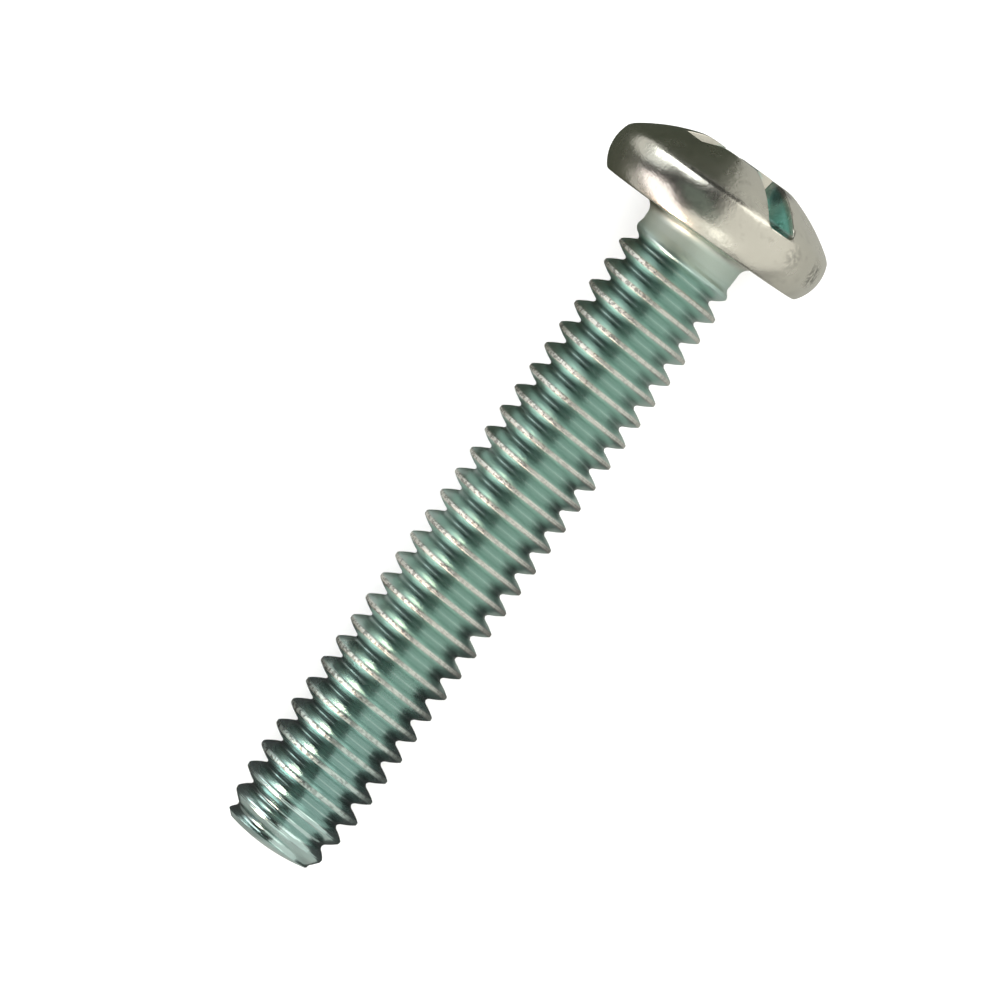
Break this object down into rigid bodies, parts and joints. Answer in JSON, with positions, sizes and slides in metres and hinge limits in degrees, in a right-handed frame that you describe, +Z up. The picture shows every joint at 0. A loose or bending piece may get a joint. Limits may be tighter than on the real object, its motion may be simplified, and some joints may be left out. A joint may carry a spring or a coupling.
{
  "type": "machine screw",
  "caption": "Zinc-plated pan head machine screw with a combined slot and cross recess, a coarse full-length thread and a short tapered point, lying on its side.",
  "frame": {"origin": "on the surface the screw lies on, under the centre of its bounding box", "axes": "+Z up; +X along the screw from its point to its head, the axis rising towards the head; +Y to the left when looking from the point to the head"},
  "size_m": [0.0414, 0.0124, 0.0123],
  "materials": {
    "zinc_plated_steel": "bright zinc plate with a faint green-blue passivation"
  },
  "bodies": {
    "root": {"machine_screw": "zinc_plated_steel"}
  },
  "joints": []
}
